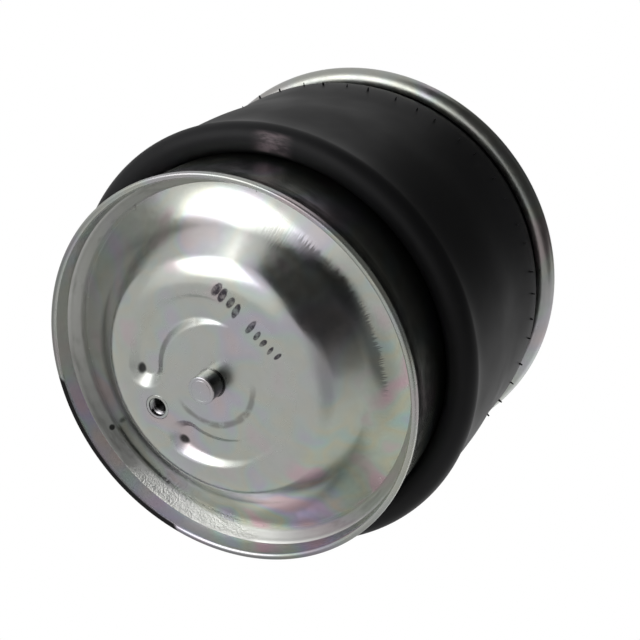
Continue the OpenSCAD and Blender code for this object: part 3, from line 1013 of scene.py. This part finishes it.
@dataclass
class Sleeve:
    """The rubber sleeve, made as an inner leg and an outer wall that meet under the lobe."""

    shop: Workshop
    wall_r: float = 121.3
    lobe_r: float = 9.45
    lobe_x: float = 130.75
    lobe_z: float = 65.0
    thick: float = 5.5
    out: float = 140.2
    neck_x: float = 133.6
    neck_z: float = 214.0
    curl_x: float = 137.6
    curl_z: float = 221.5
    bead: float = 4.7
    # Outer leg, as offsets from the lobe's widest point
    leg: tuple[Point, ...] = ((0.0, 0.0), (-1.3, 15.0), (-0.2, 53.0), (-1.0, 85.0), (0.3, 120.0),
                              (-1.8, 135.0))
    # Inner leg: the shoulder's centre and round, and both faces on the piston's head
    shoulder: Point = (109.0, 104.0)
    shoulder_r: float = 12.3
    on_head: tuple[Point, ...] = ((77.3, 110.3), (84.9, 110.3), (92.0, 116.3))
    under_clamp: tuple[Point, ...] = ((94.0, 121.8), (88.0, 123.7), (74.3, 123.7), (74.3, 113.3))
    # Ring of vent nubs
    nub_count: int = 52
    nub_z: float = 181.0

    def build(self) -> None:
        """Makes the two halves of the sleeve and the vent nubs."""
        rubber = RubberFinish("Sleeve rubber", smudged=True).made()
        neck = (self.neck_x - self.out, self.neck_z - self.lobe_z)
        leg = smooth([(self.out + x, self.lobe_z + z) for x, z in (*self.leg, neck)], 7)
        outer = self.outer_wall(leg)
        dress(outer, rubber, ("rubber_sleeve",))
        nubs = self.nubs(leg)
        dress(nubs, rubber, ())
        for piece in (outer, nubs):
            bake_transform(piece)
        under = self.inner_leg()
        dress(under, rubber, ("rubber_sleeve",))
        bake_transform(under)

    def outer_wall(self, leg: Sequence[Point]) -> Piece:
        """The lobe, the outer leg and the bead that the top plate holds.

        Args:
            leg: The outer face of the sleeve, from the lobe up.

        Returns:
            The piece.
        """
        back = [(x - self.thick, z) for x, z in reversed(leg)]
        cover = joined(arc(self.lobe_x, self.lobe_z, self.lobe_r, 180, 360, 5), leg[1:],
                       arc(self.curl_x, self.curl_z, self.bead, -130, 90, 10))
        inside = joined([(self.neck_x, self.curl_z + self.bead), (self.neck_x - 4.0, self.curl_z)], back,
                        arc(self.lobe_x, self.lobe_z, self.lobe_r - self.thick, 360, 180, 9))
        return self.shop.turn("sleeve_wall", cover + inside, 320)

    def inner_leg(self) -> Piece:
        """The leg that lies on the piston's wall, and the bead that the clamp plate holds."""
        r, t, turn_z = self.wall_r, self.thick, self.shoulder[1]
        skin = joined(self.on_head, arc(*self.shoulder, self.shoulder_r, 90, 0, 6),
                      line((r, turn_z), (r, self.lobe_z), 4.0))
        inner = joined(line((r + t, self.lobe_z), (r + t, turn_z), 4.0),
                       arc(*self.shoulder, self.shoulder_r + t, 0, 90, 6), self.under_clamp)
        return self.shop.turn("sleeve_inner_leg", skin + inner, 288)

    def nubs(self, leg: Sequence[Point]) -> Piece:
        """Torn mould-vent nubs in a ring under the top plate.

        Args:
            leg: The outer face of the sleeve.

        Returns:
            All nubs as one piece.
        """
        rng = random.Random(5)
        foot = min(leg, key=lambda p: abs(p[1] - self.nub_z))[0]
        made = []
        for i in range(self.nub_count):
            turn = math.tau * (i + rng.uniform(-0.12, 0.12)) / self.nub_count
            tall, fat = rng.uniform(1.4, 3.0), rng.uniform(0.55, 0.9)
            bpy.ops.mesh.primitive_cone_add(
                vertices=8, radius1=fat * MM, radius2=fat * 0.55 * MM, depth=tall * MM,
                location=Vector((foot + tall / 2 - 0.3, 0, self.nub_z + rng.uniform(-0.8, 0.8))) * MM,
                rotation=(0, math.pi / 2 + rng.uniform(-0.25, 0.25), 0))
            nub = bpy.context.object
            bpy.ops.object.transform_apply(location=True, rotation=True)
            nub.data.transform(Matrix.Rotation(turn, 4, "Z"))
            made.append(nub)
        return self.shop.seat(self.shop.merge("vent_nubs", made), "vent_nubs", 40)


@dataclass
class Top:
    """The crimped top plate with its studs and air inlet."""

    shop: Workshop
    top_z: float = 229.5
    plate_t: float = 3.0
    curl_r: float = 8.0
    curl_x: float = 137.6
    curl_end: float = -110.0
    stud_y: float = 78.75
    stud_r: float = 6.0
    stud_len: float = 36.0
    inlet_x: float = 70.0
    inlet_r: float = 10.2

    def build(self) -> None:
        """Makes and dresses the plate, the studs and the inlet bush."""
        zinc = ZincFinish("Zinc plated top", grey=(0.42, 0.425, 0.40), roughness=0.32, tint=0.4).made()
        machined = ZincFinish("Zinc plated stud", roughness=0.26, tint=0.3, turned=0.4).made()
        self.keep(self.plate(), zinc, "top_plate")
        self.keep(self.studs(), machined, "mounting_studs")
        self.keep(self.inlet(), machined, "air_inlet_bush")

    def keep(self, piece: Piece, finish: Finish, *nodes: str) -> None:
        """Dresses a piece and puts it on the top plate's body."""
        dress(piece, finish, nodes)
        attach(piece, Body.TOP.value)

    def plate(self) -> Piece:
        """The flat plate with its edge rolled round the sleeve's bead."""
        z, t, r = self.top_z - self.curl_r, self.plate_t, self.curl_r
        curl = arc(self.curl_x, z, r, 90, self.curl_end + 4, 4)
        lip = arc(self.curl_x, z, r - t, self.curl_end, 90, 5)
        end = math.radians(self.curl_end)
        # The curl's end is a little narrower than the sheet, so that its corners are broken
        tip, heel = ((self.curl_x + away * math.cos(end), z + away * math.sin(end))
                     for away in (r - 0.5, r - t + 0.5))
        outline = joined([(0.0, self.top_z)], line((20.0, self.top_z), (self.curl_x, self.top_z), 12.0), curl,
                         [tip, heel], lip[1:], [(20.0, self.top_z - t), (0.0, self.top_z - t)])
        plate = self.shop.turn("crimped_plate", outline, 320)
        low, high = self.top_z - t - 3, self.top_z + 3
        for side in (-1, 1):
            self.shop.drill(plate, (0.0, side * self.stud_y), self.stud_r + 0.5, low, high)
        self.shop.drill(plate, (self.inlet_x, 0.0), self.inlet_r + 4.0, low, high)
        return self.shop.seat(plate, "crimped_plate")

    def studs(self) -> Piece:
        """Two threaded studs with flat heads under the plate."""
        r, z, under = self.stud_r, self.top_z, self.top_z - self.plate_t
        tip = z + self.stud_len
        core = joined([(0.0, under - 4), (r + 4.6, under - 4), (r + 5, under - 3.6), (r + 5, under),
                       (r + 0.48, under), (r + 0.48, z - 0.3), (r + 0.2, z - 0.02), (r, z), (r, z + 2.6),
                       (r - 1.05, z + 3.4), (r - 1.05, tip - 1.2), (r - 1.9, tip), (0.0, tip)])
        made = []
        for side in (-1, 1):
            place = (0.0, side * self.stud_y)
            made.append(self.shop.turn("stud_core", core, 64, place))
            made.append(self.shop.coil("stud_ridge", r - 1.1, r, 1.75, z + 2.2, tip - 0.6, place))
        return self.shop.merge("threaded_studs", made)

    def inlet(self) -> Piece:
        """The air inlet's bush with its thread."""
        r, z, under = self.inlet_r, self.top_z, self.top_z - self.plate_t
        ring = joined([(r + 0.85, under - 16), (r + 5.6, under - 16), (r + 6, under - 15.6), (r + 6, under),
                       (r + 3.98, under), (r + 3.98, z - 0.35), (r + 3.6, z - 0.02), (r + 1.8, z - 0.02),
                       (r + 0.85, z - 1.1)])
        body = self.shop.turn("inlet_body", ring, 96, (self.inlet_x, 0.0))
        ridge = self.shop.coil("inlet_ridge", r + 0.9, r, 1.5, under - 15.8, z - 0.9, (self.inlet_x, 0.0))
        return self.shop.merge("inlet_boss", [body, ridge])


@dataclass
class Inside:
    """What the closed spring hides: the buffer and the frame's own small parts."""

    shop: Workshop
    disc_z: float = 128.0
    disc_t: float = 3.0
    disc_r: float = 34.0
    stop_z: float = 156.0
    zinc_nodes: tuple[str, ...] = ("head_stud", "clamp_plate", "bump_stop_disc", "lock_washer", "lock_nut")
    weld_nodes: tuple[str, ...] = ("pin_weld_ring", "bush_weld_ring", "head_stud_weld", "stud_weld_rings",
                                   "inlet_weld_ring")
    wire_nodes: tuple[str, ...] = ("lower_bead_wire", "upper_bead_wire")

    def build(self) -> None:
        """Makes the buffer and gives the hidden nodes their finishes."""
        zinc = ZincFinish("Zinc plated inner parts", roughness=0.26, tint=0.3, turned=0.4).made()
        weld = WeldFinish("Inner weld", (0.38, 0.37, 0.35)).made()
        wire = WireFinish("Bead wire").made()
        for nodes, finish in ((self.zinc_nodes, zinc), (self.weld_nodes, weld), (self.wire_nodes, wire)):
            for name in nodes:
                paint(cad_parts[name], finish)
        rubber = RubberFinish("Buffer rubber", dusty=0.15, roughness=0.55).made()
        buffer = self.buffer()
        dress(buffer, rubber, ("bump_stop",))
        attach(buffer, Body.PISTON.value)

    def buffer(self) -> Piece:
        """The moulded rubber buffer, with a rounded foot and crown."""
        z, t, r, top = self.disc_z, self.disc_t, self.disc_r, self.stop_z
        well = 16.5
        face = smooth([(r + 4, z + 2.2 * t), (33.2, z + 14), (34.4, top - 8), (32.6, top - 2.4),
                       (29.0, top)], 5)
        outline = joined([(r, z), (r + 3.2, z), (r + 4, z + 0.8)], face, [(well + 5, top)],
                         arc(well + 5, top - 5, 5, 90, 180, 15), [(well, z + t), (r, z + t)])
        return self.shop.turn("rubber_buffer", outline, 128)


def paint(piece: Piece, finish: Finish) -> None:
    """Gives all of a piece's mesh one material."""
    piece.data.materials.clear()
    piece.data.materials.append(finish)


def dress(piece: Piece, finish: Finish, nodes: Sequence[str]) -> None:
    """Gives a piece its material, hides the frame's nodes that it stands for, and logs its faces."""
    paint(piece, finish)
    if nodes:
        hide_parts(*nodes)
    log.info("%s: %d faces", piece.name, len(piece.data.polygons))


# Studio


@dataclass
class Viewpoint:
    """The photograph's camera, fitted to the rim and the crimped edge."""

    lens: float = 61.875
    shift: Point = (-0.0078, -0.125)
    tilt: float = 31.15
    heading: float = -35.36
    bush_turn: float = 147.35
    rim_centre: tuple[float, float, float] = (-61.57, 79.38, 644.64)
    rim_z: float = 10.0

    def __post_init__(self) -> None:
        """Works out the row frame's axes as the camera sees them: right, down, away."""
        t, p = math.radians(self.tilt), math.radians(self.heading)
        axis = Vector((math.sin(t) * math.cos(p), math.sin(t) * math.sin(p), math.cos(t)))
        right = (Vector((1, 0, 0)) - axis * axis.x).normalized()
        down = axis.cross(right)
        b = math.radians(self.bush_turn)
        bush = right * math.cos(b) + down * math.sin(b)
        self.seen = Matrix((bush, axis.cross(bush), axis))
        self.origin = Vector(self.rim_centre) - axis * self.rim_z

    def direction(self, right: float, down: float, away: float) -> Vector:
        """A direction in the row frame, from one as the camera sees it."""
        return (self.seen @ Vector((right, down, away))).normalized()

    def camera(self) -> None:
        """Adds the scene's camera."""
        made = bpy.data.cameras.new("Photo camera")
        made.lens, made.sensor_width, made.sensor_fit = self.lens, 36.0, "HORIZONTAL"
        made.shift_x, made.shift_y = self.shift
        made.clip_start, made.clip_end = 0.01, 50.0
        holder = bpy.data.objects.new("Photo camera", made)
        bpy.context.scene.collection.objects.link(holder)
        rows = (self.direction(1, 0, 0), self.direction(0, -1, 0), self.direction(0, 0, -1))
        turn = Matrix(rows).transposed()
        place = self.seen @ (-self.origin) * MM
        holder.matrix_world = Matrix.Translation(place) @ turn.to_4x4()
        bpy.context.scene.camera = holder


@dataclass(frozen=True)
class Card:
    """A flat round card beside the object that only reflections see.

    Its place is a direction as the camera sees it: round is the angle from the right upwards, off the angle
    away from the camera. Span is the angle it fills. All three are degrees. Far is its distance in metres,
    level its brightness, and soft the share of its radius over which it fades out.
    """

    name: str
    round: float
    off: float
    span: float
    level: float
    far: float
    soft: float = 0.06


CARDS = (
    Card("Dark side", 35, 54, 108, 0.04, 0.80),
    Card("Photographer", 30, 8, 30, 0.04, 0.78, 0.2),
    Card("Dark behind", 30, 112, 66, 0.08, 0.85, 0.3),
    Card("Low right card", 300, 36, 60, 0.42, 0.86, 0.8),
    Card("Softbox halo", 158, 50, 78, 1.05, 1.10, 0.25),
    Card("White behind", 314, 122, 42, 1.2, 0.95, 0.3),
)


@dataclass
class Studio:
    """A pale floor, a white surround, soft lamps and reflecting cards."""

    view: Viewpoint
    # The point that lamps and cards face, in metres
    middle: Vector = field(default_factory=lambda: Vector((0, 0, 0.06)))
    # Brightness of the surround where it isn't seen directly
    surround_level: float = 0.71

    def build(self) -> None:
        """Sets up the surround, the floor, the lamps and the cards."""
        bpy.context.scene.view_settings.view_transform = "Standard"
        self.surround()
        self.floor()
        self.place("Key softbox", self.middle + self.towards(151, 51), (0.70, 0.66), 2.3)
        self.place("Upper softbox", Vector((0.25, -0.2, 1.15)), (0.7, 0.7), 0.6)
        for card in CARDS:
            self.hang(card)

    def towards(self, round_angle: float, off: float) -> Vector:
        """A direction from its angle round the line of sight and its angle off that line."""
        a, o = math.radians(round_angle), math.radians(off)
        return self.view.direction(math.cos(a) * math.sin(o), -math.sin(a) * math.sin(o), -math.cos(o))

    def facing(self, where: Vector, front: str) -> Matrix:
        """The place and turn of something whose front faces the middle."""
        turn = (self.middle - where).to_track_quat(front, "Y").to_matrix().to_4x4()
        return Matrix.Translation(where) @ turn

    def hang(self, card: Card) -> None:
        """Adds a card that faces the object and shows only in reflections."""
        where = self.middle + self.towards(card.round, card.off) * card.far
        bpy.ops.object.select_all(action="DESELECT")
        reach = card.far * math.tan(math.radians(card.span / 2))
        bpy.ops.mesh.primitive_circle_add(vertices=64, radius=reach, fill_type="NGON")
        piece = bpy.context.object
        piece.name = card.name
        piece.data.transform(self.facing(where, "Z"))
        g = Graph(card.name)
        away = g.node("ShaderNodeVectorMath", operation="DISTANCE")
        g.feed(away.inputs[0], g.place)
        g.feed(away.inputs[1], where)
        glow = g.node("ShaderNodeEmission")
        g.feed(glow.inputs["Strength"], card.level)
        fade = g.span(away.outputs["Value"], reach, reach * (1 - card.soft))
        paint(piece, g.cover(fade, glow.outputs[0]))
        piece.visible_camera = piece.visible_diffuse = piece.visible_shadow = False
        piece.visible_transmission = False

    def surround(self) -> None:
        """A plain world: full white where it is seen, softer as light and in reflections."""
        world = bpy.data.worlds.new("White surround")
        world.use_nodes = True
        tree = world.node_tree
        path = tree.nodes.new("ShaderNodeLightPath")
        seen = tree.nodes.new("ShaderNodeMath")
        seen.operation, seen.use_clamp = "ADD", True
        tree.links.new(path.outputs["Is Camera Ray"], seen.inputs[0])
        tree.links.new(path.outputs["Is Transmission Ray"], seen.inputs[1])
        level = tree.nodes.new("ShaderNodeMapRange")
        level.inputs["To Min"].default_value = self.surround_level
        tree.links.new(seen.outputs[0], level.inputs["Value"])
        back = tree.nodes["Background"]
        back.inputs["Color"].default_value = (1, 1, 1, 1)
        tree.links.new(level.outputs[0], back.inputs["Strength"])
        bpy.context.scene.world = world

    def floor(self) -> None:
        """A floor under the pin, open to every ray from below and to all but the camera's from above."""
        bpy.ops.object.select_all(action="DESELECT")
        bpy.ops.mesh.primitive_plane_add(size=6.0, location=(0, 0, CAD_BOX[0][2] - 0.0002))
        floor = bpy.context.object
        floor.name = "Pale floor"
        g = Graph("Pale floor")
        g.finish((0.86, 0.86, 0.86), 0.9, 0.0)
        path = g.node("ShaderNodeLightPath")
        side = g.node("ShaderNodeNewGeometry")
        front = g.math("SUBTRACT", path.outputs["Is Camera Ray"], side.outputs["Backfacing"], clamp=True)
        paint(floor, g.cover(front, g.shader.outputs[0]))

    def place(self, name: str, where: Vector, size: Point, level: float) -> None:
        """Adds an area lamp that faces the middle of the object."""
        made = bpy.data.lights.new(name, "AREA")
        made.shape, made.size, made.size_y = "RECTANGLE", size[0], size[1]
        made.energy = level * math.pi * size[0] * size[1]
        holder = bpy.data.objects.new(name, made)
        bpy.context.scene.collection.objects.link(holder)
        holder.matrix_world = self.facing(where, "-Z")


def main() -> None:
    """Builds the camera, the pieces and the studio, in order."""
    logging.basicConfig(level=logging.INFO, format="%(message)s")
    view = Viewpoint()
    view.camera()
    shop = Workshop()
    for part in (Piston(shop), Sleeve(shop), Top(shop), Inside(shop), Studio(view)):
        log.info("%s", type(part).__name__)
        part.build()


if __name__ == "__main__":
    main()
